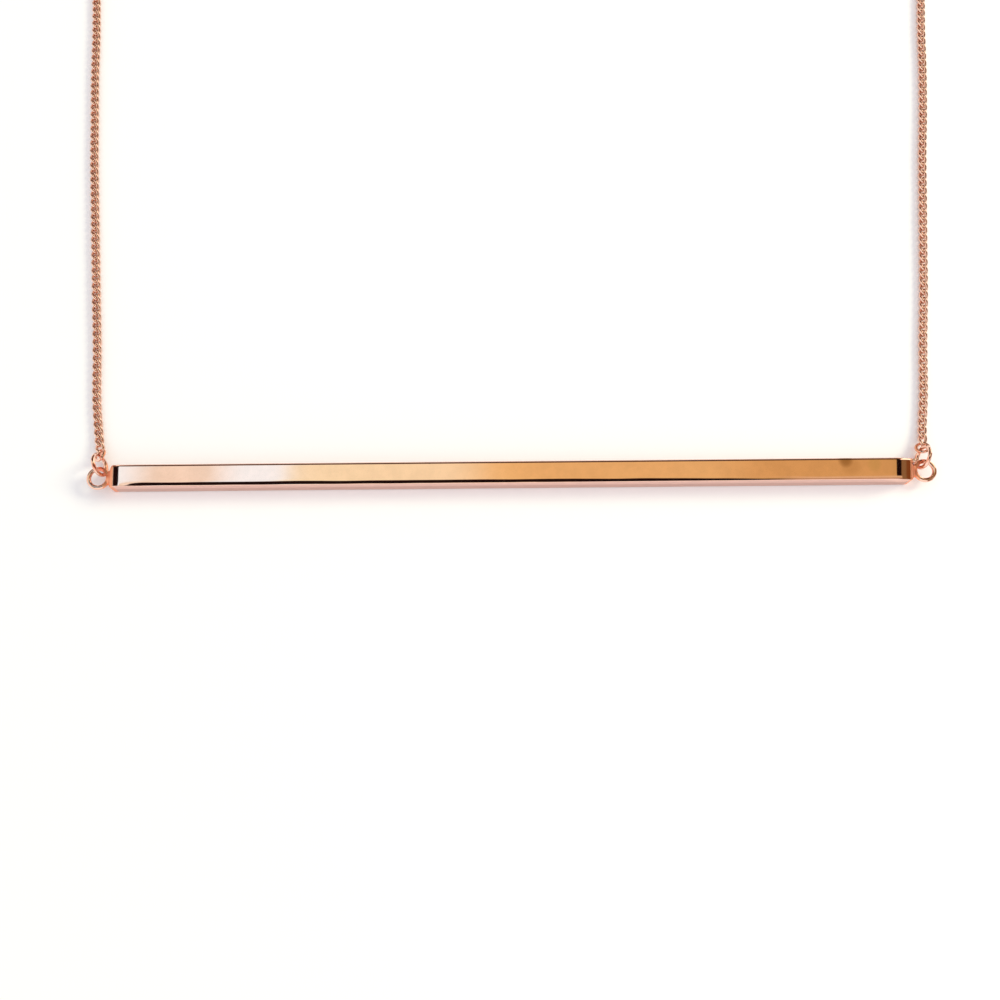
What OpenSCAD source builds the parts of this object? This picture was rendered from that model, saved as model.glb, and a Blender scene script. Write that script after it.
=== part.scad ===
// Bar necklace: a long square bar between two fine curb chains that close behind
// the neck with a ring clasp. It lies on a flat surface at z = 0. The bar is along
// X, the chains run away from it along +Y, and the clasp is at the far side.
// The origin is the middle of the bar's underside. Sizes are in millimetres.

/* [Bar] */
// Length of the square bar, without its eyes
bar_l = 73.4; // [40:0.2:110]
// Width of the bar's top face
bar_w = 2.0; // [1.6:0.1:4]
// Height of the bar
bar_h = 2.0; // [1.7:0.1:2.6]
// Radius of the bar's polished long edges
bar_edge_r = 0.3; // [0.1:0.05:0.6]
// Radius by which the bar's top and underside round over at its two ends
bar_end_r = 0.5; // [0.1:0.05:0.6]

/* [Eyes] */
// Outer diameter of each soldered eye
eye_d = 2.2; // [1.9:0.1:3.2]
// Wire thickness of each eye
eye_wire = 0.42; // [0.36:0.02:0.44]
// Length of the solder between a body and its eye
solder_l = 0.1; // [0.05:0.05:0.8]
// Width of the solder
solder_w = 1.1; // [0.7:0.1:1.5]
// Height of the solder
solder_h = 0.5; // [0.4:0.05:0.8]

/* [Jump rings] */
// Outer diameter of each jump ring
ring_d = 2.35; // [2.1:0.05:3]
// Wire thickness of each jump ring
ring_wire = 0.37; // [0.3:0.01:0.42]
// Angle by which each jump ring leans over, with its outer side up
ring_lean = 75; // [74:1:77]
// Angle by which each jump ring dips towards its chain
ring_dip = 14; // [12:1:18]
// Angle at which a jump ring sits inwards on the bar's eye
ring_turn = 6; // [5:1:8]
// Angle by which the bar's jump rings point outwards
ring_spread = 8; // [7:1:9]

/* [End rings] */
// Outer diameter of the soldered ring at each end of a chain
end_ring_d = 1.4; // [1.35:0.05:1.8]
// Wire thickness of the end rings
end_ring_wire = 0.28; // [0.2:0.02:0.3]
// Angle by which each end ring dips towards its chain
end_ring_dip = 27; // [25:1:29]

/* [Chain] */
// Width of the curb chain
chain_w = 0.9; // [0.84:0.02:1.2]
// Thickness of the curb chain as it lies
chain_t = 0.58; // [0.5:0.02:0.64]
// Wire thickness of the chain's links
chain_wire = 0.22; // [0.18:0.02:0.24]
// Angle by which each chain runs outwards from its jump ring at the bar
chain_spread = 13; // [12:0.5:14]
// Depth of the loop, from the bar's middle to the clasp's
loop_depth = 163; // [150:1:180]

/* [Clasp] */
// Outer diameter of the clasp's ring
clasp_d = 5.5; // [5:0.1:8]
// Thickness of the clasp's ring
clasp_wire = 0.8; // [0.6:0.05:0.95]
// Height of the clasp's middle above the surface
clasp_z = 1.0; // [0.85:0.05:1.2]

/* [Fit] */
// Free space between wires that pass through each other
link_gap = 0.09; // [0.08:0.01:0.1]
// Free space between a jump ring and the wire that it goes round
ring_gap = 0.20; // [0.18:0.01:0.21]

/* [Hidden] */
$fn = 48;

rose_gold = "#d9a288";
chain_gold = "#cf9276";

// The solder's rounded corners, and how far it runs into the body that it joins
solder_r = 0.15;
solder_sink = 0.35;

// Rolls of the end rings and of the last links, with the outer side up where above 0.
// Both chains are twisted the same way, so their last links roll the same way, and a
// mirrored piece on the left rolls the other way before it is mirrored.
end_ring_roll_right = 20;
end_ring_roll_left = -28;
link_roll_right = -60;
link_roll_left = 60;

// Dip of the last chain link, which passes through the end ring
link_dip = 32;

// Radii of the middle lines of the round wires
eye_r = (eye_d - eye_wire) / 2;
ring_r = (ring_d - ring_wire) / 2;
end_ring_r = (end_ring_d - end_ring_wire) / 2;
link_r = (chain_w - chain_wire) / 2;
clasp_r = (clasp_d - clasp_wire) / 2;

// From a body's end to the middle of its eye, and the eyes' distance from the bar's middle
eye_out = solder_l + eye_d / 2;
eye_x = bar_l / 2 + eye_out;

// The clasp stands off the middle, so that both chains end equally far from it
clasp_right_reach = clasp_r + ring_reach(clasp_wire);
clasp_left_reach = clasp_d / 2 + eye_out + eye_r + ring_reach(eye_wire);
clasp_x = (clasp_left_reach - clasp_right_reach) / 2;

// Sides of the chain's envelope
tube_sides = 8;

// Where the chains lie on the surface, from the bar to the clasp. Each row is the
// distance out from the middle and the distance away from the bar.
route_right = [
    [38.4, 4.5], [38.9, 8], [39.4, 13], [40.0, 18], [40.5, 23], [41.0, 28], [41.5, 33],
    [42.1, 38], [42.6, 43], [43.0, 48], [43.5, 53], [43.9, 58], [44.3, 63],
    [44.6, 68], [44.8, 73], [45.0, 78], [45.1, 83], [45.2, 88], [45.2, 93],
    [45.1, 98], [44.9, 103], [44.6, 108], [44.1, 113], [43.2, 118], [42.0, 123],
    [40.4, 128], [38.5, 132.7], [36.3, 137.3], [33.7, 141.7], [30.7, 145.8], [27.3, 149.6],
    [23.5, 153], [19.4, 156.1], [15.1, 159], [10.7, 161.5]];
route_left = [
    [38.5, 4.5], [39.0, 8], [39.4, 13], [39.9, 18], [40.4, 23], [40.9, 28], [41.4, 33],
    [41.8, 38], [42.2, 43], [42.5, 48], [42.9, 53], [43.2, 58], [43.5, 63],
    [43.8, 68], [44.1, 73], [44.4, 78], [44.6, 83], [44.7, 88], [44.8, 93],
    [44.7, 98], [44.5, 103], [44.2, 108], [43.7, 113], [42.9, 118], [41.9, 123],
    [40.5, 128], [38.6, 132.7], [36.3, 137.3], [33.6, 141.7], [30.6, 145.8], [27.3, 149.6],
    [23.6, 153], [19.5, 156.2], [15.2, 159.1], [10.7, 161.6]];
// The eyes' distance from the middle and the loop's depth that the rows are chosen for
route_fits = [37.9, 163];

function unit(v) = v / norm(v);

// Direction at an angle to the right of +Y, dipping below the level
function along(yaw, dip) = [sin(yaw) * cos(dip), cos(yaw) * cos(dip), -sin(dip)];

// How far a jump ring stands out beyond the middle of the wire that it goes round
function ring_reach(wire) = 2 * ring_r - (wire + ring_wire) / 2 - ring_gap;

// Height of a jump ring's middle when its low side rests on the surface
function ring_height() =
    ring_r * sqrt(1 - pow(cos(ring_dip) * cos(ring_lean), 2)) + ring_wire / 2;

// A hook-up is where a chain starts: the middle of the wire that the jump ring goes
// round, that wire's thickness, and the angles at which the jump ring and the chain
// leave it. The left side's are given as on the right, and their pieces are mirrored.
bar_hook = [[eye_x, 0, bar_h / 2] + eye_r * along(-ring_turn, 0), eye_wire, ring_spread, chain_spread];
clasp_right_hook = [[clasp_x + clasp_r, loop_depth, clasp_z], clasp_wire, 90, 90];
clasp_left_hook = [
    [clasp_left_reach - clasp_x - ring_reach(eye_wire), loop_depth, clasp_z], eye_wire, 90, 90];

function ring_middle(hook) =
    let (
        inside = (hook[1] + ring_wire) / 2 + ring_gap,
        rise = ring_height() - hook[0][2],
        reach = sqrt(pow(ring_r - inside, 2) - rise * rise))
    hook[0] + reach * along(hook[2], 0) + [0, 0, rise];
function end_ring_middle(hook) =
    let (inside = (ring_wire + end_ring_wire) / 2 + link_gap)
    ring_middle(hook) + (ring_r - inside) * along(hook[2], ring_dip)
        + end_ring_r * along(hook[3], end_ring_dip);
function link_middle(hook) =
    let (inside = (end_ring_wire + chain_wire) / 2 + link_gap)
    end_ring_middle(hook) + (end_ring_r - inside) * along(hook[3], end_ring_dip)
        + link_r * along(hook[3], link_dip);
function chain_end(hook) = link_middle(hook) + link_r * along(hook[3], link_dip);

// The whole middle line of a chain, which rests on the surface between its hook-ups.
// A longer bar moves the rows near it out, and a deeper loop moves the far rows away.
function chain_line(route, far_hook) =
    let (grown = [eye_x, loop_depth] - route_fits, last = len(route) - 1)
    [chain_end(bar_hook),
        for (i = [0:last]) [
            route[i][0] + grown[0] * (1 - i / last), route[i][1] + grown[1] * i / last, chain_t / 2],
        chain_end(far_hook)];

module wire_ring(d, wire) {
    rotate_extrude()
        translate([(d - wire) / 2, 0])
            circle(d = wire);
}

// A ring whose middle line runs through a chain's direction
module hung_ring(middle, yaw, dip, roll, d, wire) {
    translate(middle)
        rotate([0, 0, -yaw])
            rotate([-dip, 0, 0])
                rotate([0, -roll, 0])
                    wire_ring(d, wire);
}

module rounded_rect(a, b, r) {
    square([a - 2 * r, b], center = true);
    square([a, b - 2 * r], center = true);
    for (x = [-1, 1], y = [-1, 1])
        translate([x * (a / 2 - r), y * (b / 2 - r)])
            circle(r);
}

// An eye lying flat, soldered on a body that ends at the origin, out along +X
module soldered_eye() {
    translate([eye_out, 0, 0])
        wire_ring(eye_d, eye_wire);
    difference() {
        translate([-solder_sink, 0, 0])
            rotate([90, 0, 90])
                linear_extrude(solder_sink + solder_l + eye_wire)
                    rounded_rect(solder_w, solder_h, solder_r);
        translate([eye_out, 0, -solder_h])
            cylinder(r = eye_r, h = 2 * solder_h);
    }
}

// A square bar with every edge rounded, centred on the origin
module square_bar() {
    intersection() {
        rotate([90, 0, 90])
            linear_extrude(bar_l, center = true)
                rounded_rect(bar_w, bar_h, bar_edge_r);
        rotate([90, 0, 0])
            linear_extrude(bar_w, center = true)
                rounded_rect(bar_l, bar_h, bar_end_r);
        linear_extrude(bar_h, center = true)
            rounded_rect(bar_l, bar_w, bar_edge_r);
    }
}

module bar() {
    color(rose_gold)
        translate([0, 0, bar_h / 2]) {
            square_bar();
            for (turn = [0, 180])
                rotate([0, 0, turn])
                    translate([bar_l / 2, 0, 0])
                        soldered_eye();
        }
}

module jump_ring(hook) {
    color(rose_gold)
        hung_ring(ring_middle(hook), hook[2], ring_dip, ring_lean, ring_d, ring_wire);
}

module end_ring(hook, roll) {
    color(rose_gold)
        hung_ring(end_ring_middle(hook), hook[3], end_ring_dip, roll, end_ring_d, end_ring_wire);
}

module last_link(hook, roll) {
    hung_ring(link_middle(hook), hook[3], link_dip, roll, chain_w, chain_wire);
}

// A flat eight-sided envelope swept along a line of points, upright at each of them
module swept_tube(line, w, h) {
    half = [w, h] / 2 / cos(180 / tube_sides);
    last = len(line) - 1;
    corners = [for (i = [0:last])
        let (heading = unit(line[min(i + 1, last)] - line[max(i - 1, 0)]))
        let (side = unit([heading[1], -heading[0], 0]))
        for (k = [0:tube_sides - 1])
            let (turn = 360 / tube_sides * (k + 0.5))
            line[i] + half[0] * cos(turn) * side + [0, 0, half[1] * sin(turn)]];
    walls = [for (i = [0:last - 1], k = [0:tube_sides - 1])
        let (a = i * tube_sides + k, b = i * tube_sides + (k + 1) % tube_sides)
        each [[a, b, b + tube_sides], [a, b + tube_sides, a + tube_sides]]];
    near_cap = [for (k = [tube_sides - 1:-1:0]) k];
    far_cap = [for (k = [0:tube_sides - 1]) last * tube_sides + k];
    polyhedron(corners, concat(walls, [near_cap, far_cap]));
}

// The envelope of a curb chain with a real link at each end
module chain(route, far_hook, roll) {
    color(chain_gold) {
        swept_tube(chain_line(route, far_hook), chain_w, chain_t);
        last_link(bar_hook, roll);
        last_link(far_hook, roll);
    }
}

module on_left() {
    mirror([1, 0, 0])
        children();
}

module jump_ring_left() {
    on_left() jump_ring(bar_hook);
}

module jump_ring_right() {
    jump_ring(bar_hook);
}

module end_ring_left() {
    on_left() end_ring(bar_hook, end_ring_roll_left);
}

module end_ring_right() {
    end_ring(bar_hook, end_ring_roll_right);
}

module chain_left() {
    on_left() chain(route_left, clasp_left_hook, link_roll_left);
}

module chain_right() {
    chain(route_right, clasp_right_hook, link_roll_right);
}

// A plain ring clasp with its own eye towards the left chain
module clasp() {
    color(rose_gold)
        translate([clasp_x, loop_depth, clasp_z]) {
            wire_ring(clasp_d, clasp_wire);
            on_left()
                translate([clasp_d / 2, 0, 0])
                    soldered_eye();
        }
}

module clasp_ring_left() {
    on_left() jump_ring(clasp_left_hook);
}

module clasp_ring_right() {
    jump_ring(clasp_right_hook);
}

module clasp_end_ring_left() {
    on_left() end_ring(clasp_left_hook, end_ring_roll_left);
}

module clasp_end_ring_right() {
    end_ring(clasp_right_hook, end_ring_roll_right);
}

bar();
jump_ring_left();
jump_ring_right();
end_ring_left();
end_ring_right();
chain_left();
chain_right();
clasp();
clasp_ring_left();
clasp_ring_right();
clasp_end_ring_left();
clasp_end_ring_right();
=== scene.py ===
"""Looks of the bar necklace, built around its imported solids. Lengths are in metres."""
import math

import bmesh
import bpy
import numpy as np
from mathutils import Matrix, Vector, noise


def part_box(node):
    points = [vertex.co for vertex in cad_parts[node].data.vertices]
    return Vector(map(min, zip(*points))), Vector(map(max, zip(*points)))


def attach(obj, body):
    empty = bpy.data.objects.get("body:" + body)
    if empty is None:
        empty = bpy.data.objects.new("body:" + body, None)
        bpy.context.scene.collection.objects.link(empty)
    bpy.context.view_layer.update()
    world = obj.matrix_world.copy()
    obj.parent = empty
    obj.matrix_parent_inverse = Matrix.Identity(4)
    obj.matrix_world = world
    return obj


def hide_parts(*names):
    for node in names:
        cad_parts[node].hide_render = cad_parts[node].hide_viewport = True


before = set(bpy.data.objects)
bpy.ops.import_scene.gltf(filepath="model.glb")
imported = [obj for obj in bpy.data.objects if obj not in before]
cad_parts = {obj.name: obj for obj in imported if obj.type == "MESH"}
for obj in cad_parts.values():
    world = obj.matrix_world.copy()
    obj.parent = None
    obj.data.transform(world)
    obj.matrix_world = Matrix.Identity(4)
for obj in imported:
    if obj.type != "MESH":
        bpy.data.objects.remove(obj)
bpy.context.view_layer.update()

MM = 0.001

# Where the photograph was taken from, and where the bar's middle is in it
IMAGE_PX = 1000
FOCAL_PX = 1083
SENSOR = 36
CAMERA_ELEVATION = math.radians(75.2)
CAMERA_ROLL = math.radians(0.53)
CAMERA_DISTANCE = 99.4 * MM
BAR_MIDDLE_PX = (511.6, 474.5)

# The bar and its eyes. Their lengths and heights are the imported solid's. The photograph
# shows the bar a little wider than square, so it is 0.05 mm wider on each side.
EYE_DIAMETER = 2.2 * MM
EYE_WIRE = 0.42 * MM
BAR_LENGTH = 73.4 * MM
BAR_WIDTH = 2.1 * MM
BAR_HEIGHT = 2 * MM

# The rounds of its long edges: at the top's back and front, and at the underside
BACK_RADIUS = 0.26 * MM
FRONT_RADIUS = 0.06 * MM
LOW_RADIUS = 0.1 * MM

# The rounds of its upright edges at the ends, and of the underside towards each end
RIGHT_CORNER_RADIUS = 0.3 * MM
BACK_LEFT_CORNER_RADIUS = 0.5 * MM
FRONT_LEFT_CORNER_RADIUS = 0.08 * MM
LOW_LEFT_RADIUS = 0.15 * MM
LOW_RIGHT_RADIUS = 0.5 * MM

# How far each cut end is moved along the bar, for each length across it
LEFT_SKEW = -0.05
RIGHT_SKEW = 0.1

# The shoulder, where the top rolls over to its front edge: how wide and how steep it is,
# and the share of its slope that it has lost at the right
SHOULDER_WIDTH = 0.42 * MM
SHOULDER_ANGLE = math.radians(20.5)
SHOULDER_LOSS = 0.64

# How the top is worn towards each end: the round's radius, the shoulder's width before
# it, and the slope at which the shoulder meets the round
LEFT_END = (0.5 * MM, 0.62 * MM, math.radians(8.5))
RIGHT_END = (0.45 * MM, 1.45 * MM, math.radians(20))

# Width and height of the solder that joins each eye to its body, and the share of the
# eye's wire that the bar's solder covers
LEFT_JOINT = (1.8 * MM, 1.25 * MM)
RIGHT_JOINT = (1.6 * MM, 1.0 * MM)
CLASP_JOINT = (1.1 * MM, 0.5 * MM)
JOINT_COVER = 0.8

# How far the clasp's solder starts inside its ring, and how far it reaches from there
CLASP_JOINT_START = 0.2 * MM
CLASP_JOINT_REACH = 0.45 * MM

# A solder joint's sections: how far out each one is, its width and its height, as shares
SOLDER_SECTIONS = [
    (-0.3, 1.0, 1.0), (0.0, 1.0, 1.0), (0.12, 0.93, 0.86), (0.3, 0.84, 0.68),
    (0.55, 0.76, 0.55), (0.8, 0.7, 0.46), (1.0, 0.6, 0.3)]
SOLDER_SIDES = 28
SOLDER_POWER = 0.8

# The drop of solder on the bar's right end, in millimetres
DROP_MIDDLE = (36.82, 0.84, 1.5)
DROP_RADII = (0.23, 0.23, 0.2)

# The cut that opens a jump ring
RING_CUT = math.radians(3)

# A curb chain's link: an oval of round wire, twisted about its long axis
LINK_WIRE = 0.28 * MM
LINK_HALF_WIDTH = 0.305 * MM
LINK_HALF_LENGTH = 0.67 * MM
LINK_TWIST = math.radians(67)
LINK_STEPS = 32
LINK_SIDES = 12
LINK_GAP = 0.06 * MM
LINK_MIDDLE_HEIGHT = 0.3 * MM
PITCH_LEFT = 0.832 * MM
PITCH_RIGHT = 0.866 * MM

# How far links lean about their chain in long waves and one by one, in degrees
WAVE_LEAN = 8
LINK_LEAN = 3

# The least height of a link, and the floor's depth under what it carries
LINK_CLEARANCE = 0.004 * MM
FLOOR_DEPTH = 0.01 * MM
FLOOR_HALF_SIZE = 0.8

# Where the chains lie, as in the part's source: millimetres out from the middle and
# away from the bar
ROUTE_RIGHT = [
    (38.4, 4.5), (38.9, 8), (39.4, 13), (40.0, 18), (40.5, 23), (41.0, 28), (41.5, 33),
    (42.1, 38), (42.6, 43), (43.0, 48), (43.5, 53), (43.9, 58), (44.3, 63),
    (44.6, 68), (44.8, 73), (45.0, 78), (45.1, 83), (45.2, 88), (45.2, 93),
    (45.1, 98), (44.9, 103), (44.6, 108), (44.1, 113), (43.2, 118), (42.0, 123),
    (40.4, 128), (38.5, 132.7), (36.3, 137.3), (33.7, 141.7), (30.7, 145.8), (27.3, 149.6),
    (23.5, 153), (19.4, 156.1), (15.1, 159), (10.7, 161.5)]
ROUTE_LEFT = [
    (38.5, 4.5), (39.0, 8), (39.4, 13), (39.9, 18), (40.4, 23), (40.9, 28), (41.4, 33),
    (41.8, 38), (42.2, 43), (42.5, 48), (42.9, 53), (43.2, 58), (43.5, 63),
    (43.8, 68), (44.1, 73), (44.4, 78), (44.6, 83), (44.7, 88), (44.8, 93),
    (44.7, 98), (44.5, 103), (44.2, 108), (43.7, 113), (42.9, 118), (41.9, 123),
    (40.5, 128), (38.6, 132.7), (36.3, 137.3), (33.6, 141.7), (30.6, 145.8), (27.3, 149.6),
    (23.6, 153), (19.5, 156.2), (15.2, 159.1), (10.7, 161.6)]


# Vectors and wires

def unit(vectors):
    """Each row of an array, or one vector, at length 1."""
    return vectors / np.linalg.norm(vectors, axis=-1, keepdims=True)


def smooth(value, low, high):
    """A soft step from 0 at low to 1 at high."""
    share = np.clip((value - low) / (high - low), 0, 1)
    return share * share * (3 - 2 * share)


def wander(place, seed):
    """A smooth random number between about -1 and 1 that changes with place."""
    return noise.noise(Vector((place, 7.3 * seed, 3.1 * seed)))


def tube_faces(rows, sides, closed=False):
    """Faces that join rows of corners into a tube, which has caps or closes on itself."""
    faces = []
    for row in range(rows if closed else rows - 1):
        here = row * sides
        there = (row + 1) % rows * sides
        for side in range(sides):
            after = (side + 1) % sides
            faces.append((here + side, here + after, there + after, there + side))
    if not closed:
        faces.append(tuple(range(sides)))
        faces.append(tuple(range((rows - 1) * sides, rows * sides)))
    return faces


def wire_skin(middles, outward, radius, sides, closed=True):
    """Corners and faces of a round wire. outward points away from the wire's own curve."""
    middles = np.asarray(middles, float)
    count = len(middles)
    ahead = np.roll(middles, -1, 0) - np.roll(middles, 1, 0)
    if not closed:
        ahead[0] = middles[1] - middles[0]
        ahead[-1] = middles[-1] - middles[-2]
    ahead = unit(ahead)
    outward = unit(outward - (outward * ahead).sum(1, keepdims=True) * ahead)
    across = np.cross(ahead, outward)
    turns = np.linspace(0, 2 * math.pi, sides, endpoint=False)
    corners = middles[:, None] + radius * (
        np.cos(turns)[None, :, None] * outward[:, None]
        + np.sin(turns)[None, :, None] * across[:, None])
    return corners.reshape(-1, 3), tube_faces(count, sides, closed)


class Shell:
    """Corners and faces of one piece, gathered from its parts."""

    def __init__(self):
        self.corners = []
        self.faces = []
        self.count = 0

    def add(self, corners, faces):
        self.corners.append(np.asarray(corners, float))
        self.faces += [tuple(self.count + corner for corner in face) for face in faces]
        self.count += len(corners)

    def piece(self, name, material, stands_for):
        """The finished object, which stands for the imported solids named."""
        mesh = bpy.data.meshes.new(name)
        mesh.from_pydata(np.concatenate(self.corners).tolist(), [], self.faces)
        shape = bmesh.new()
        shape.from_mesh(mesh)
        bmesh.ops.recalc_face_normals(shape, faces=shape.faces)
        shape.to_mesh(mesh)
        shape.free()
        mesh.polygons.foreach_set("use_smooth", [True] * len(mesh.polygons))
        mesh.materials.append(material)
        made = bpy.data.objects.new(name, mesh)
        bpy.context.scene.collection.objects.link(made)
        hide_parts(*stands_for)
        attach(made, "root")
        return made


def ring_facts(node):
    """Middle, axis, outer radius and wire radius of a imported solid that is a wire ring."""
    places = np.array([corner.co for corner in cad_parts[node].data.vertices], float)
    middle = (places.min(0) + places.max(0)) / 2
    spread = places - middle
    axis = np.linalg.svd(spread.T @ spread)[0][:, 2]
    return middle, axis, np.linalg.norm(spread, axis=1).max(), np.abs(spread @ axis).max()


def ring_skin(middle, axis, outer, wire, start, cut=0.0, steps=96, sides=20):
    """A wire ring. start points from its middle to its cut, which is an angle wide."""
    start = unit(start - start.dot(axis) * axis)
    beside = np.cross(axis, start)
    turns = np.linspace(cut / 2, 2 * math.pi - cut / 2, steps, endpoint=cut > 0)
    outward = np.cos(turns)[:, None] * start + np.sin(turns)[:, None] * beside
    return wire_skin(middle + (outer - wire) * outward, outward, wire, sides, closed=cut == 0)


# Materials

class Graph:
    """A node tree, built from the output back."""

    def __init__(self, tree):
        self.tree = tree
        tree.nodes.clear()

    def node(self, kind, inputs=None, **settings):
        made = self.tree.nodes.new(kind)
        for name, value in settings.items():
            setattr(made, name, value)
        for name, value in (inputs or {}).items():
            socket = made.inputs[name]
            if isinstance(value, bpy.types.NodeSocket):
                self.tree.links.new(value, socket)
            else:
                socket.default_value = value
        return made

    def math(self, operation, *values):
        made = self.node("ShaderNodeMath", operation=operation)
        for socket, value in zip(made.inputs, values):
            if isinstance(value, bpy.types.NodeSocket):
                self.tree.links.new(value, socket)
            else:
                socket.default_value = value
        return made.outputs[0]

    def fade(self, value, start, end, low=0.0, high=1.0):
        """A soft step from low at start to high at end."""
        made = self.node(
            "ShaderNodeMapRange",
            {"Value": value, "From Min": start, "From Max": end, "To Min": low, "To Max": high},
            interpolation_type="SMOOTHSTEP")
        return made.outputs["Result"]

    def both(self, first, second):
        """The share to which two masks hold at once."""
        return self.math("MULTIPLY", first, second)

    def between(self, value, low, high, soft):
        """1 between low and high, 0 outside them."""
        rise = self.fade(value, low - soft, low + soft)
        fall = self.fade(value, high - soft, high + soft, 1.0, 0.0)
        return self.both(rise, fall)

    def mix(self, share, first, second):
        """A colour between two others."""
        made = self.node("ShaderNodeMix", data_type="RGBA")
        for index, value in ((0, share), (6, first), (7, second)):
            if isinstance(value, bpy.types.NodeSocket):
                self.tree.links.new(value, made.inputs[index])
            elif index == 0:
                made.inputs[index].default_value = value
            else:
                made.inputs[index].default_value = (*value, 1)
        return made.outputs[2]

    def blend(self, share, first, second):
        """A shader between two others."""
        made = self.node("ShaderNodeMixShader", {"Fac": share})
        self.tree.links.new(first.outputs[0], made.inputs[1])
        self.tree.links.new(second.outputs[0], made.inputs[2])
        return made

    def ramp(self, value, stops):
        """A colour by place, from stops of a place and a colour."""
        made = self.node("ShaderNodeValToRGB", {"Fac": value})
        elements = made.color_ramp.elements
        while len(elements) < len(stops):
            elements.new(1)
        for element, (place, colour) in zip(elements, stops):
            element.position = place
            element.color = (*colour, 1)
        return made.outputs["Color"]


# Painted shade on the lower part of the bar's front face: a deeper colour that stands in for the
# shaded floor just in front of it, which the face mirrors. The constants give the height where
# that starts, the height under which it is whole, how far forward the face is, and how softly the
# colour ends at the face and at the bar's ends
FOOT_SHADE_TOP = 1.25 * MM
FOOT_SHADE_WHOLE = 0.9 * MM
FOOT_SHADE_FRONT = 1.0 * MM
FOOT_SHADE_FRONT_SOFT = 0.02 * MM
EDGE_SOFT = 0.05 * MM


def foot_shade_share(graph, x, y, z):
    """1 low on the bar's front face, where shade is painted, 0 elsewhere."""
    low = graph.fade(z, FOOT_SHADE_TOP, FOOT_SHADE_WHOLE)
    front = graph.fade(y, FOOT_SHADE_FRONT_SOFT - FOOT_SHADE_FRONT, -FOOT_SHADE_FRONT_SOFT - FOOT_SHADE_FRONT)
    on_bar = graph.between(x, -BAR_LENGTH / 2, BAR_LENGTH / 2, EDGE_SOFT)
    return graph.both(graph.both(low, front), on_bar)


def solder_share(graph, x, y, start, end):
    """1 between two places along the bar, measured with the skew of their end."""
    skew = LEFT_SKEW if start < 0 else RIGHT_SKEW
    along = graph.math("SUBTRACT", x, graph.math("MULTIPLY", y, skew))
    return graph.between(along, start * MM, end * MM, EDGE_SOFT)


def mark_share(graph, x, y, z, middle, reach, lowest, strength):
    """An oval mark, seen from above: at its strength in the middle and gone at its reach."""
    along = graph.math("DIVIDE", graph.math("SUBTRACT", x, middle[0] * MM), reach[0] * MM)
    across = graph.math("DIVIDE", graph.math("SUBTRACT", y, middle[1] * MM), reach[1] * MM)
    away = graph.math(
        "ADD", graph.math("MULTIPLY", along, along), graph.math("MULTIPLY", across, across))
    high = graph.fade(z, (lowest - 0.1) * MM, lowest * MM)
    return graph.both(graph.fade(away, 0.0, 1.0, strength, 0.0), high)


def polished_gold(name, colour, roughness, rubbed, marks=(), solder=(), foot_shade=None):
    """Mirror-polished rose-gold plate with faint rubbing marks, clouding, stains and solder. It
    also has painted shade low on the front face, and painted shade and a painted highlight among
    the marks.
    """
    material = bpy.data.materials.new(name)
    material.use_nodes = True
    graph = Graph(material.node_tree)
    place = graph.node("ShaderNodeTexCoord").outputs["Object"]
    cloud = graph.node(
        "ShaderNodeTexNoise", {"Vector": place, "Scale": 900.0, "Detail": 3.0, "Roughness": 0.6})
    tone = graph.fade(cloud.outputs["Fac"], 0.3, 0.7)
    deeper = tuple(channel * 0.94 for channel in colour)
    plate = graph.mix(tone, deeper, colour)
    x, y, z = graph.node("ShaderNodeSeparateXYZ", {"Vector": place}).outputs
    rough = graph.math("MULTIPLY", tone, 0.2 * roughness)
    rough = graph.math("ADD", rough, 0.9 * roughness)
    # Painted shade: the lower front face is darker, standing in for the shaded floor that it
    # mirrors
    if foot_shade:
        plate = graph.mix(foot_shade_share(graph, x, y, z), plate, foot_shade)
    for start, end, tint in solder:
        share = solder_share(graph, x, y, start, end)
        plate = graph.mix(share, plate, tint)
        rough = graph.math("ADD", rough, graph.math("MULTIPLY", share, SOLDER_ROUGHNESS))
    # The marks paint stains, a pit and a smudge, and also painted shade and a painted highlight
    for *where, tint in marks:
        plate = graph.mix(mark_share(graph, x, y, z, *where), plate, tint)
    stretched = graph.node(
        "ShaderNodeMapping", {"Vector": place, "Scale": (350.0, 9000.0, 9000.0)})
    rubbing = graph.node(
        "ShaderNodeTexNoise",
        {"Vector": stretched.outputs["Vector"], "Scale": 1.0, "Detail": 2.0})
    bump = graph.node("ShaderNodeBump", {
        "Height": rubbing.outputs["Fac"], "Strength": rubbed, "Distance": 0.002 * MM})
    shader = graph.node("ShaderNodeBsdfPrincipled", {
        "Base Color": plate,
        "Metallic": 1.0,
        "Roughness": rough,
        "Normal": bump.outputs["Normal"]})
    graph.node("ShaderNodeOutputMaterial", {"Surface": shader.outputs[0]})
    return material


# The marks on the bar and its eyes, each over the ones before it: middle and reach along and
# across the bar and lowest height, all in millimetres, then strength and colour. Besides real
# stains, a pit and a smudge, they hold painted light. The crossings are painted shade where the
# jump rings pass through the eyes. The drop's seam is painted shade under it, and the drop's pale
# colour is a painted highlight.
PIT = ((-7.45, 0.86), (0.1, 0.09), 1.8, 1.0, (0.10, 0.05, 0.03))
STAIN_TAIL = ((30.85, 0.2), (1.1, 1.1), 1.8, 0.4, (0.60, 0.34, 0.22))
STAIN = ((30.4, 0.8), (0.8, 0.85), 1.8, 0.85, (0.42, 0.22, 0.12))
FAINT_STAIN = ((33.0, 0.4), (0.8, 1.0), 1.8, 0.3, (0.62, 0.46, 0.24))
SMUDGE = ((-28.1, 0.1), (1.9, 1.4), 1.7, 0.3, (0.74, 0.47, 0.37))
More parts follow.
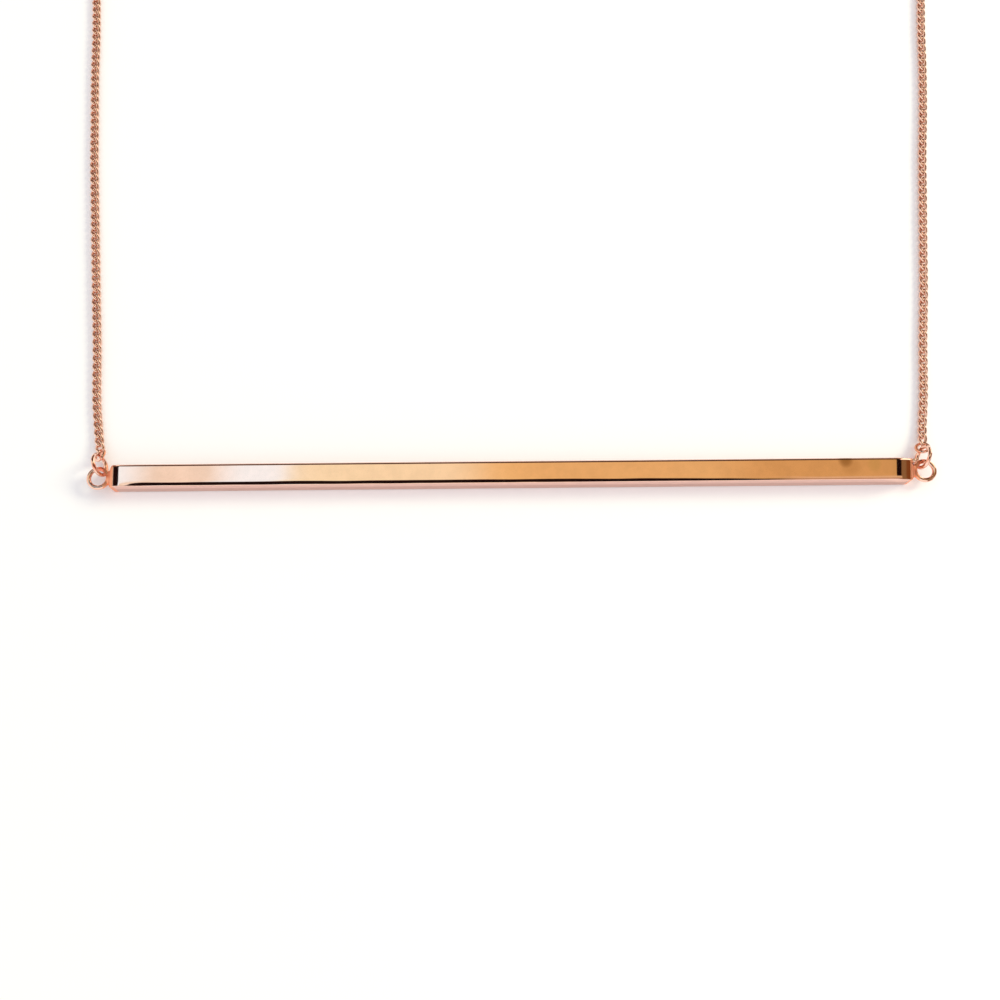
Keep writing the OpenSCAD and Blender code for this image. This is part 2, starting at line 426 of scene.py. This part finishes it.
# Painted shade, reddened like the reflections there, where each jump ring passes through its eye
LEFT_CROSSING_SHADE = ((-37.7, 0.8), (0.6, 0.5), 0.6, 0.75, (0.85, 0.24, 0.13))
RIGHT_CROSSING_SHADE = ((37.62, 0.8), (0.45, 0.45), 0.6, 0.8, (0.72, 0.20, 0.10))
# Painted highlight: the solder drop is paler than the solder around it
SOLDER_DROP_HIGHLIGHT = ((36.84, 0.86), (0.3, 0.3), 1.3, 0.9, (0.99, 0.76, 0.62))
# Painted shade in the seam under the solder drop, where it meets the bar
DROP_SEAM_SHADE = ((36.82, 0.52), (0.4, 0.16), 1.0, 0.95, (0.35, 0.11, 0.06))
MARKS_AND_PAINTED_LIGHT = (
    PIT, STAIN_TAIL, STAIN, FAINT_STAIN, SMUDGE, LEFT_CROSSING_SHADE, RIGHT_CROSSING_SHADE, SOLDER_DROP_HIGHLIGHT,
    DROP_SEAM_SHADE)

# The reddened solder at both ends: from where to where along the bar, in millimetres, and
# its colour. It is duller than the plate.
LEFT_SOLDER = (-37.45, -36.28, (0.92, 0.42, 0.25))
RIGHT_SOLDER = (36.32, 37.4, (0.97, 0.45, 0.27))
SOLDER_ROUGHNESS = 0.38

# The plate's own colour, a deeper one low on the bar's front face that is painted shade, and the
# chains' colour
PLATE = (0.93, 0.58, 0.46)
FOOT_PAINTED_SHADE = (0.66, 0.385, 0.295)
CHAIN_PLATE = (0.95, 0.60, 0.47)

rose_gold = polished_gold(
    "rose_gold_polish", PLATE, 0.06, 0.08, MARKS_AND_PAINTED_LIGHT, (LEFT_SOLDER, RIGHT_SOLDER), FOOT_PAINTED_SHADE)
chain_gold = polished_gold("chain_gold_polish", CHAIN_PLATE, 0.25, 0.0)


# The bar with its eyes

def shoulder_angle(along):
    """How steeply the bar's top rolls over towards its front edge, at a place along it."""
    right = 1 - SHOULDER_LOSS * smooth(along, 0, 31 * MM)
    left = smooth(along, -36 * MM, -33.5 * MM)
    return SHOULDER_ANGLE * right * left * (1 + 0.12 * wander(along / (3 * MM), 1))


def end_inset(along, radius):
    """How far a face has rounded in, close to either end of the bar."""
    beyond = max(0.0, abs(along) - (BAR_LENGTH / 2 - radius))
    return radius - math.sqrt(max(0.0, radius ** 2 - beyond ** 2))


def end_drop(along):
    """Height that the top has lost at a place along the bar, near either end."""
    radius, width, slope = LEFT_END if along < 0 else RIGHT_END
    distance = BAR_LENGTH / 2 - abs(along)
    edge = radius * (1 - math.sin(slope))
    on_shoulder = max(0.0, edge + width - max(distance, edge))
    drop = math.tan(slope) * on_shoulder ** 2 / (2 * width)
    if distance < edge:
        inside = max(0.0, distance)
        drop += radius * math.cos(slope) - math.sqrt(radius ** 2 - (radius - inside) ** 2)
    return drop


def top_height(across, along, edge, angle):
    """Height of the bar's top. edge is where its shoulder meets the front edge's round."""
    width = SHOULDER_WIDTH * (1 + 0.15 * wander(along / (4 * MM), 2))
    on_shoulder = max(0.0, edge + width - across)
    long_waves = 0.004 * MM * wander(along / (9 * MM), 3)
    waves = long_waves + 0.0015 * MM * wander(along / (2.5 * MM), 4)
    return BAR_HEIGHT + waves - math.tan(angle) * on_shoulder ** 2 / (2 * width) - end_drop(along)


def arc(middle, radius, start, end, steps=10):
    """Points on a round, from one angle to another, in the plane across the bar."""
    for turn in np.linspace(start, end, steps):
        yield middle[0] + radius * math.cos(turn), middle[1] + radius * math.sin(turn)


def end_radii(along):
    """The rounds of the nearer end: its upright edges at back and front, and its underside."""
    if along < 0:
        return BACK_LEFT_CORNER_RADIUS, FRONT_LEFT_CORNER_RADIUS, LOW_LEFT_RADIUS
    return RIGHT_CORNER_RADIUS, RIGHT_CORNER_RADIUS, LOW_RIGHT_RADIUS


def bar_section(along):
    """The bar's outline across it, from the underside round by the front, top and back."""
    back_corner, front_corner, low_corner = end_radii(along)
    back_half = BAR_WIDTH / 2 - end_inset(along, back_corner)
    front_half = BAR_WIDTH / 2 - end_inset(along, front_corner)
    inset = end_inset(along, low_corner)
    angle = shoulder_angle(along)
    low = LOW_RADIUS
    back = BACK_RADIUS
    front = FRONT_RADIUS
    edge = front * (1 - math.sin(angle)) - front_half
    quarter = math.pi / 2
    outline = [(across, inset) for across in np.linspace(back_half - low, low - front_half, 8)]
    outline += list(arc((low - front_half, inset + low), low, -quarter, -2 * quarter))[1:]
    edge_height = top_height(edge, along, edge, angle)
    middle = (edge + front * math.sin(angle), edge_height - front * math.cos(angle))
    round_front = list(arc(middle, front, 2 * quarter, quarter + angle))
    outline += [
        (-front_half, height) for height in np.linspace(inset + low, round_front[0][1], 8)][1:-1]
    outline += round_front
    outline += [
        (across, top_height(across, along, edge, angle))
        for across in np.linspace(edge, back_half - back, 36)][1:]
    outline += list(arc((back_half - back, outline[-1][1] - back), back, quarter, 0))[1:]
    outline += [(back_half, height) for height in np.linspace(outline[-1][1], inset + low, 8)][1:]
    outline += list(arc((back_half - low, inset + low), low, 0, -quarter))[1:-1]
    return outline


def bar_stations():
    """Places along the bar, closer together near its ends."""
    half = BAR_LENGTH / 2
    near = 2 * MM
    left = np.linspace(-half, near - half, 70)
    middle = np.linspace(near - half, half - near, 280)
    right = np.linspace(half - near, half, 70)
    return np.concatenate([left, middle[1:-1], right])


def bar_skin():
    """The bar's sections from end to end, moved along it near the ends by their skew."""
    rows = []
    for along in bar_stations():
        skew = LEFT_SKEW if along < 0 else RIGHT_SKEW
        skew *= smooth(abs(along), BAR_LENGTH / 2 - 4 * MM, BAR_LENGTH / 2 - MM)
        rows.append(
            [(along + skew * across, across, height) for across, height in bar_section(along)])
    return np.array(rows).reshape(-1, 3), tube_faces(len(rows), len(rows[0]))


def squared(wave):
    """A sine or cosine that stays near its ends longer, which squares up a round."""
    return np.sign(wave) * np.abs(wave) ** SOLDER_POWER


def solder_skin(side, end, reach, width, height, middle_y, middle_z):
    """A solder joint that narrows from a body's end face to the wire of its eye."""
    turns = np.linspace(0, 2 * math.pi, SOLDER_SIDES, endpoint=False)
    rows = []
    for share, wide, high in SOLDER_SECTIONS:
        rows.append(np.stack([
            np.full(SOLDER_SIDES, end + side * share * reach),
            middle_y + width / 2 * wide * squared(np.cos(turns)),
            middle_z + height / 2 * high * squared(np.sin(turns))], 1))
    return np.concatenate(rows), tube_faces(len(rows), SOLDER_SIDES)


def ball_skin(middle, radii, steps=20):
    """A rounded drop."""
    turns = np.linspace(0, 2 * math.pi, steps, endpoint=False)
    rows = []
    for rise in np.linspace(-math.pi / 2, math.pi / 2, steps // 2 + 1)[1:-1]:
        rows.append(np.stack([
            math.cos(rise) * np.cos(turns), math.cos(rise) * np.sin(turns),
            np.full(steps, math.sin(rise))], 1))
    return middle + np.concatenate(rows) * radii, tube_faces(len(rows), steps)


def add_bar():
    """The bar with an eye and its solder on each end, and the drop on the right one."""
    shell = Shell()
    shell.add(*bar_skin())
    low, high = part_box("bar")
    middle_z = (low.z + high.z) / 2
    end = BAR_LENGTH / 2
    up = np.array([0.0, 0, 1])
    for side, reach, solder in ((-1, -low.x, LEFT_JOINT), (1, high.x, RIGHT_JOINT)):
        middle = np.array([side * (reach - EYE_DIAMETER / 2), 0, middle_z])
        outward = np.array([side, 0.0, 0])
        shell.add(*ring_skin(middle, up, EYE_DIAMETER / 2, EYE_WIRE / 2, outward))
        joint = reach - EYE_DIAMETER + EYE_WIRE * JOINT_COVER - end
        shell.add(*solder_skin(side, side * end, joint, *solder, 0, middle_z))
    shell.add(*ball_skin(np.array(DROP_MIDDLE) * MM, np.array(DROP_RADII) * MM))
    return shell.piece("square_bar", rose_gold, ["bar"])


# The rings

def add_ring(node, start, cut):
    """A wire ring in a packed ring's place. start points from its middle to any cut."""
    shell = Shell()
    middle, axis, outer, wire = ring_facts(node)
    shell.add(*ring_skin(middle, axis, outer, wire, np.array(start, float), cut))
    return shell.piece(node + "_wire", rose_gold, [node])


def add_clasp():
    """The clasp's plain ring with its own eye, soldered on at the left."""
    low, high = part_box("clasp")
    outer = (high.y - low.y) / 2
    wire = (high.z - low.z) / 2
    middle = np.array([high.x - outer, (low.y + high.y) / 2, (low.z + high.z) / 2])
    up = np.array([0.0, 0, 1])
    left = np.array([-1.0, 0, 0])
    shell = Shell()
    shell.add(*ring_skin(middle, up, outer, wire, left, steps=128, sides=28))
    eye = np.array([low.x + EYE_DIAMETER / 2, middle[1], middle[2]])
    shell.add(*ring_skin(eye, up, EYE_DIAMETER / 2, EYE_WIRE / 2, left))
    joint = middle[0] - outer + CLASP_JOINT_START
    shell.add(*solder_skin(-1, joint, CLASP_JOINT_REACH, *CLASP_JOINT, middle[1], middle[2]))
    return shell.piece("clasp_ring", rose_gold, ["clasp"])


# The chains

def link_skin():
    """One link about its own middle: x across the chain, y along it, z up."""
    turns = np.linspace(0, 2 * math.pi, LINK_STEPS, endpoint=False)
    across = LINK_HALF_WIDTH * np.cos(turns)
    twist = LINK_TWIST * np.sin(turns)
    middles = np.stack(
        [across * np.cos(twist), LINK_HALF_LENGTH * np.sin(turns), across * np.sin(twist)], 1)
    outward = middles / np.array([LINK_HALF_WIDTH, LINK_HALF_LENGTH, LINK_HALF_WIDTH]) ** 2
    return wire_skin(middles, outward, LINK_WIRE / 2, LINK_SIDES)


def end_link_middle(ring, next_place):
    """Middle of the link that hangs in a chain's end ring and is pulled to the next place."""
    middle, axis, outer, wire = ring_facts(ring)
    pull = next_place - middle
    pull = unit(pull - pull.dot(axis) * axis)
    bend = middle + (outer - 2 * wire - LINK_GAP - LINK_WIRE / 2) * pull
    return bend + LINK_HALF_LENGTH * unit(next_place - bend)


def curve_through(places, steps=24):
    """A smooth curve through some places."""
    padded = np.concatenate([
        [2 * places[0] - places[1]], places, [2 * places[-1] - places[-2]]])
    share = np.linspace(0, 1, steps, endpoint=False)[:, None]
    curve = []
    for before, start, end, after in zip(padded, padded[1:], padded[2:], padded[3:]):
        curve.append(0.5 * (
            2 * start + (end - before) * share
            + (2 * before - 5 * start + 4 * end - after) * share ** 2
            + (3 * start - before - 3 * end + after) * share ** 3))
    return np.concatenate(curve + [places[-1:]])


def link_middles(route, side, near_ring, far_ring, pitch):
    """The middle of every link of a chain, evenly spaced along its route."""
    laid = np.array([(side * out * MM, away * MM, LINK_MIDDLE_HEIGHT) for out, away in route])
    first = end_link_middle(near_ring, laid[0])
    last = end_link_middle(far_ring, laid[-1])
    curve = curve_through(np.concatenate([[first], laid, [last]]))
    reach = np.concatenate([[0], np.cumsum(np.linalg.norm(np.diff(curve, axis=0), axis=1))])
    count = round(reach[-1] / pitch) + 1
    places = np.linspace(0, reach[-1], count)
    return np.stack([np.interp(places, reach, curve[:, axis]) for axis in range(3)], 1)


def add_chain(side_name, route, side, pitch, seed):
    """A chain of interlocked links, each leaning a little about the chain's own way."""
    near_ring = "end_ring_" + side_name
    far_ring = "clasp_end_ring_" + side_name
    middles = link_middles(route, side, near_ring, far_ring, pitch)
    ahead = np.gradient(middles, axis=0)
    corners, faces = link_skin()
    shell = Shell()
    last = len(middles) - 1
    for index, middle in enumerate(middles):
        along = unit(ahead[index])
        across = unit(np.cross(along, (0, 0, 1)))
        up = np.cross(across, along)
        free = smooth(min(index, last - index), 1, 5)
        waves = WAVE_LEAN * wander(index * 0.11, seed)
        single = LINK_LEAN * wander(index * 1.7, seed + 1)
        lean = free * math.radians(waves + single)
        leaning = math.cos(lean) * across + math.sin(lean) * up
        raised = math.cos(lean) * up - math.sin(lean) * across
        placed = corners @ np.array([leaning, along, raised]) + middle
        placed[:, 2] += max(0.0, LINK_CLEARANCE - placed[:, 2].min())
        shell.add(placed, faces)
    node = "chain_" + side_name
    return shell.piece("curb_" + node, chain_gold, [node])


# The stage, the lights and the camera

def add_floor():
    """The white surface, just under what lies on it."""
    size = FLOOR_HALF_SIZE
    mesh = bpy.data.meshes.new("floor")
    corners = [(-size, -size, 0), (size, -size, 0), (size, size, 0), (-size, size, 0)]
    mesh.from_pydata(corners, [], [(0, 1, 2, 3)])
    material = bpy.data.materials.new("white_sheet")
    material.use_nodes = True
    graph = Graph(material.node_tree)
    shader = graph.node("ShaderNodeBsdfPrincipled", {
        "Base Color": (0.93, 0.93, 0.93, 1), "Roughness": 1.0, "Specular IOR Level": 0.0})
    graph.node("ShaderNodeOutputMaterial", {"Surface": shader.outputs[0]})
    mesh.materials.append(material)
    floor = bpy.data.objects.new("floor", mesh)
    floor.location.z = -FLOOR_DEPTH
    bpy.context.scene.collection.objects.link(floor)


def add_surroundings():
    """What the polished metal mirrors: a lit ceiling with dark gaps, by direction.

    across and away say where a direction meets a ceiling at height 1 over the bar.
    """
    world = bpy.data.worlds.new("studio")
    bpy.context.scene.world = world
    world.use_nodes = True
    graph = Graph(world.node_tree)
    direction = graph.node("ShaderNodeTexCoord").outputs["Generated"]
    x, y, z = graph.node("ShaderNodeSeparateXYZ", {"Vector": direction}).outputs
    height = graph.math("MAXIMUM", z, 0.02)
    across = graph.math("DIVIDE", x, height)
    away = graph.math("DIVIDE", y, height)

    black = (0.012, 0.004, 0.004)
    cool = (1.06, 1.52, 1.82)
    pale = (1.03, 1.12, 1.04)
    dull = (0.96, 1.03, 0.93)
    cream = (1.04, 1.16, 0.88)
    warm = (1.04, 1.08, 0.78)
    gold = (0.97, 0.77, 0.35)
    deep_gold = (0.87, 0.67, 0.30)
    amber = (0.73, 0.51, 0.20)
    olive = (0.28, 0.175, 0.075)
    russet = (0.22, 0.08, 0.02)
    lit_wall = (1.2, 1.15, 1.05)
    low, high = -1.1, 2.4
    stops = [
        (-1.05, lit_wall), (-0.8, lit_wall), (-0.72, black), (-0.43, black), (-0.40, cool),
        (-0.352, cool), (-0.342, dull), (-0.327, dull), (-0.31, pale), (-0.272, pale),
        (-0.262, cool), (-0.206, cool), (-0.196, cream), (-0.04, warm), (0.0, gold),
        (0.05, deep_gold), (0.2, deep_gold), (0.26, amber), (0.385, amber), (0.41, black),
        (0.66, black), (0.72, olive), (1.0, olive), (1.2, russet)]
    seen = graph.ramp(
        graph.math("DIVIDE", graph.math("SUBTRACT", across, low), high - low),
        [((place - low) / (high - low), colour) for place, colour in stops])

    # What stands before the ceiling, each over the ones before it
    behind = graph.both(graph.fade(y, 0.38, 0.44), graph.between(x, -0.33, 0.33, 0.01))
    overhead = graph.both(
        graph.between(away, -0.5, 0.04, 0.04), graph.between(across, -0.41, 0.27, 0.03))
    beyond = graph.between(across, 0.27, 0.72, 0.02)
    rim = graph.both(graph.between(away, -0.25, 0.17, 0.025), beyond)
    under = graph.both(graph.between(away, -0.25, 0.07, 0.025), beyond)
    in_front = graph.fade(away, -0.5, -0.6)
    far_left = graph.both(graph.fade(x, -0.4, -0.46), graph.fade(y, 0.34, 0.42))
    near_right = graph.both(graph.fade(x, 0.42, 0.5), graph.fade(y, -0.36, -0.44))
    window = graph.both(graph.fade(x, 0.47, 0.54), graph.fade(y, 0.33, 0.38))
    for share, colour in (
            (behind, (0.12, 0.08, 0.06)),
            (overhead, black),
            (rim, (0.80, 0.64, 0.40)),
            (under, (0.54, 0.38, 0.24)),
            (in_front, (1.15, 1.2, 1.2)),
            (far_left, (0.2, 0.1, 0.06)),
            (near_right, (0.3, 0.15, 0.08)),
            (window, (2.2, 2.1, 1.75))):
        seen = graph.mix(share, seen, colour)

    # Metal that the camera sees mirrors all that. Metal that the floor sees throws a plain
    # light on it, stronger towards the front, and the floor itself is lit softly.
    toward_front = graph.fade(y, 0.1, -0.1)
    throw = graph.mix(toward_front, (0.9, 0.88, 0.9), (2.2, 2.6, 3.1))
    mirrored = graph.node("ShaderNodeBackground", {"Color": seen, "Strength": 1.0})
    thrown = graph.node("ShaderNodeBackground", {"Color": throw, "Strength": 1.0})
    soft = graph.node(
        "ShaderNodeBackground", {"Color": (0.98, 0.965, 0.985, 1), "Strength": 0.9})
    path = graph.node("ShaderNodeLightPath").outputs
    from_floor = graph.math("GREATER_THAN", path["Diffuse Depth"], 0.5)
    by_metal = graph.blend(from_floor, mirrored, thrown)
    light = graph.blend(path["Is Glossy Ray"], soft, by_metal)
    graph.node("ShaderNodeOutputWorld", {"Surface": light.outputs[0]})


def add_window():
    """The window light from the back right, which throws the soft shadows."""
    data = bpy.data.lights.new("window", "AREA")
    data.shape = "DISK"
    data.size = 0.3
    data.energy = 3.2
    data.color = (1.0, 0.98, 0.72)
    window = bpy.data.objects.new("window", data)
    window.location = (0.600, 0.230, 0.386)
    window.rotation_euler = window.location.to_track_quat("Z", "Y").to_euler()
    window.visible_glossy = False
    bpy.context.scene.collection.objects.link(window)


def add_camera():
    """The photograph's view: the bar's middle at its pixel, seen from its distance."""
    ahead = Vector((0, math.cos(CAMERA_ELEVATION), -math.sin(CAMERA_ELEVATION)))
    level_up = Vector((0, math.sin(CAMERA_ELEVATION), math.cos(CAMERA_ELEVATION)))
    right = math.cos(CAMERA_ROLL) * Vector((1, 0, 0)) - math.sin(CAMERA_ROLL) * level_up
    up = math.sin(CAMERA_ROLL) * Vector((1, 0, 0)) + math.cos(CAMERA_ROLL) * level_up
    aside = (BAR_MIDDLE_PX[0] - IMAGE_PX / 2) / FOCAL_PX
    above = (IMAGE_PX / 2 - BAR_MIDDLE_PX[1]) / FOCAL_PX
    low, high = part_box("bar")
    sight = (ahead + aside * right + above * up).normalized()
    data = bpy.data.cameras.new("camera")
    data.sensor_width = SENSOR
    data.lens = FOCAL_PX / IMAGE_PX * SENSOR
    data.clip_start = 0.005
    data.clip_end = 10
    camera = bpy.data.objects.new("camera", data)
    turned = Matrix((right, up, -ahead)).transposed().to_4x4()
    camera.matrix_world = Matrix.Translation((low + high) / 2 - CAMERA_DISTANCE * sight) @ turned
    bpy.context.scene.collection.objects.link(camera)
    bpy.context.scene.camera = camera


add_camera()
add_surroundings()
add_window()
add_floor()
add_bar()
add_ring("jump_ring_left", (-1, 0.2, 0), RING_CUT)
add_ring("jump_ring_right", (1, 0.2, 0), RING_CUT)
add_ring("clasp_ring_left", (0, -1, 0), RING_CUT)
add_ring("clasp_ring_right", (0, -1, 0), RING_CUT)
add_ring("end_ring_left", (1, 0, 0), 0)
add_ring("end_ring_right", (1, 0, 0), 0)
add_ring("clasp_end_ring_left", (0, 1, 0), 0)
add_ring("clasp_end_ring_right", (0, 1, 0), 0)
add_clasp()
add_chain("left", ROUTE_LEFT, -1, PITCH_LEFT, 5)
add_chain("right", ROUTE_RIGHT, 1, PITCH_RIGHT, 8)

bpy.context.scene.view_settings.view_transform = "Standard"
